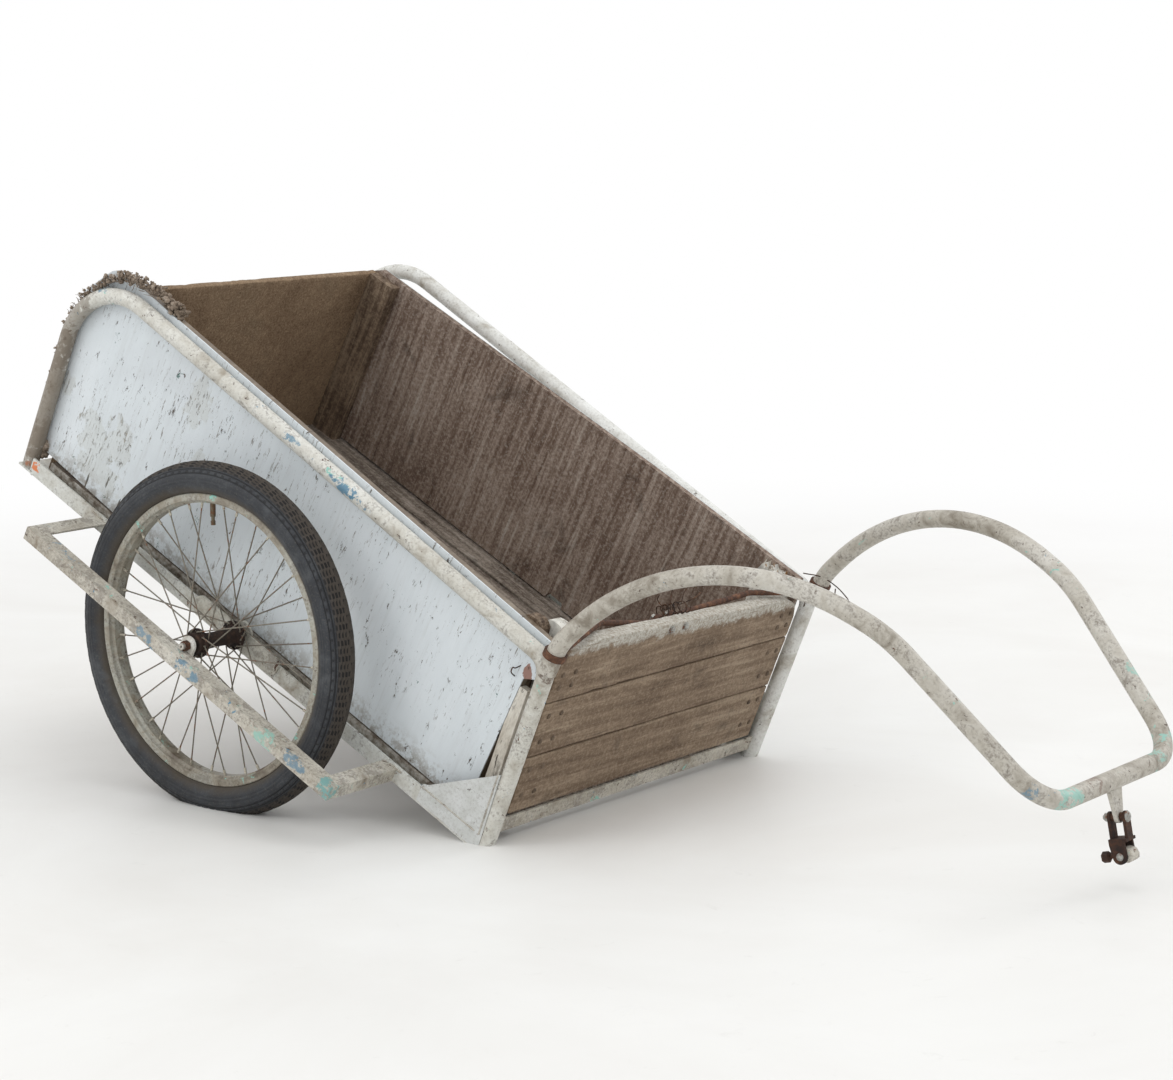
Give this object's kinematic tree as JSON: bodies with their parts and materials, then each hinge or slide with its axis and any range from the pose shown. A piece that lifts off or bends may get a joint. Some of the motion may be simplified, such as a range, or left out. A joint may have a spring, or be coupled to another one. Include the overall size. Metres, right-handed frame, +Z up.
{
  "type": "two-wheeled bicycle trailer",
  "caption": "Old two-wheeled cart with a wooden box on a steel tube frame, spoked wheels, a bent-tube drawbow and a swivel hitch, parked nose-down.",
  "frame": {"origin": "on the floor under the middle of the part's bounding box", "axes": "+X from the box's rear to the hitch, level with the floor; +Y to the cart's left; +Z up. The cart is stored in its parked stance, nose down on its two slack tyres and its two front feet"},
  "size_m": [1.7061, 0.936, 0.7441],
  "materials": {
    "cream_paint": "cream paint, worn and grimy over steel, with blue and mint flecks and rust",
    "rusty_steel": "dark rusty steel",
    "dull_steel": "dull grey steel",
    "rim_paint": "dull mint paint over steel, dusty",
    "tyre_rubber": "black rubber, dusty",
    "tube_rubber": "old rubber",
    "brass": "tarnished brass",
    "panel_blue": "plywood with scratched light blue-grey paint",
    "panel_dark": "plywood with dark worn varnish",
    "plank_grey": "weathered grey-brown planks",
    "floor_grey": "grooved weathered floor planks",
    "bare_wood": "bare brown wood",
    "white_wood": "wood with chipped white paint"
  },
  "bodies": {
    "frame": {"side_tube_right": "cream_paint", "side_tube_left": "cream_paint", "bottom_rail_right": "cream_paint", "bottom_rail_left": "cream_paint", "gussets": "cream_paint", "cross_member_front": "cream_paint", "cross_member_mid": "cream_paint", "cross_member_rear": "cream_paint", "outrigger_right": "cream_paint", "outrigger_left": "cream_paint", "axle_brackets": "cream_paint", "axle_plates": "cream_paint", "axle_right": "dull_steel", "axle_left": "dull_steel", "axle_cones": "dull_steel", "axle_nuts": "rusty_steel", "panel_right": "panel_blue", "panel_left": "panel_dark", "front_plank_low": "plank_grey", "front_plank_mid": "plank_grey", "front_plank_top": "plank_grey", "rear_board": "bare_wood", "floor_planks_wide": "floor_grey", "floor_plank_edge": "floor_grey", "post_front_right_outer": "white_wood", "post_front_right_inner": "white_wood", "post_front_left": "white_wood", "posts_rear": "bare_wood", "battens": "white_wood", "plank_screws": "rusty_steel", "drawbow": "cream_paint", "tie_rod_right": "rusty_steel", "tie_rod_left": "rusty_steel", "tie_bolts": "dull_steel", "hitch_tab": "cream_paint"},
    "wheel_right": {"hub_right": "rusty_steel", "hub_balls_right": "dull_steel", "spokes_right": "dull_steel", "nipples_right": "dull_steel", "rim_right": "rim_paint", "tyre_right": "tyre_rubber", "inner_tube_right": "tube_rubber", "valve_right": "brass"},
    "wheel_left": {"hub_left": "rusty_steel", "hub_balls_left": "dull_steel", "spokes_left": "dull_steel", "nipples_left": "dull_steel", "rim_left": "rim_paint", "tyre_left": "tyre_rubber", "inner_tube_left": "tube_rubber", "valve_left": "brass"},
    "fork": {"hitch_clevis": "rusty_steel", "hitch_pivot_bolt": "dull_steel", "hitch_spacers": "rusty_steel", "swivel_bolt": "dull_steel"},
    "block": {"swivel_block": "cream_paint"},
    "screw": {"clamp_screw": "rusty_steel"}
  },
  "joints": [
    {"name": "wheel_right_spin", "type": "hinge", "parent": "frame", "child": "wheel_right", "pos_m": [-0.39041, -0.388, 0.2415], "axis": [0, 1, 0], "continuous": true},
    {"name": "wheel_left_spin", "type": "hinge", "parent": "frame", "child": "wheel_left", "pos_m": [-0.39041, 0.388, 0.2415], "axis": [0, 1, 0], "continuous": true},
    {"name": "fork_swing", "type": "hinge", "parent": "frame", "child": "fork", "pos_m": [0.82199, 0, 0.094], "axis": [0.9796, 0, 0.2011], "range_deg": [-60, 60]},
    {"name": "block_tilt", "type": "hinge", "parent": "fork", "child": "block", "pos_m": [0.83205, 0, 0.04502], "axis": [0, 1, 0], "range_deg": [-25, 25]},
    {"name": "screw_turn", "type": "hinge", "parent": "block", "child": "screw", "pos_m": [0.83205, 0, 0.04502], "axis": [-0.9659, 0, -0.2588], "continuous": true}
  ]
}
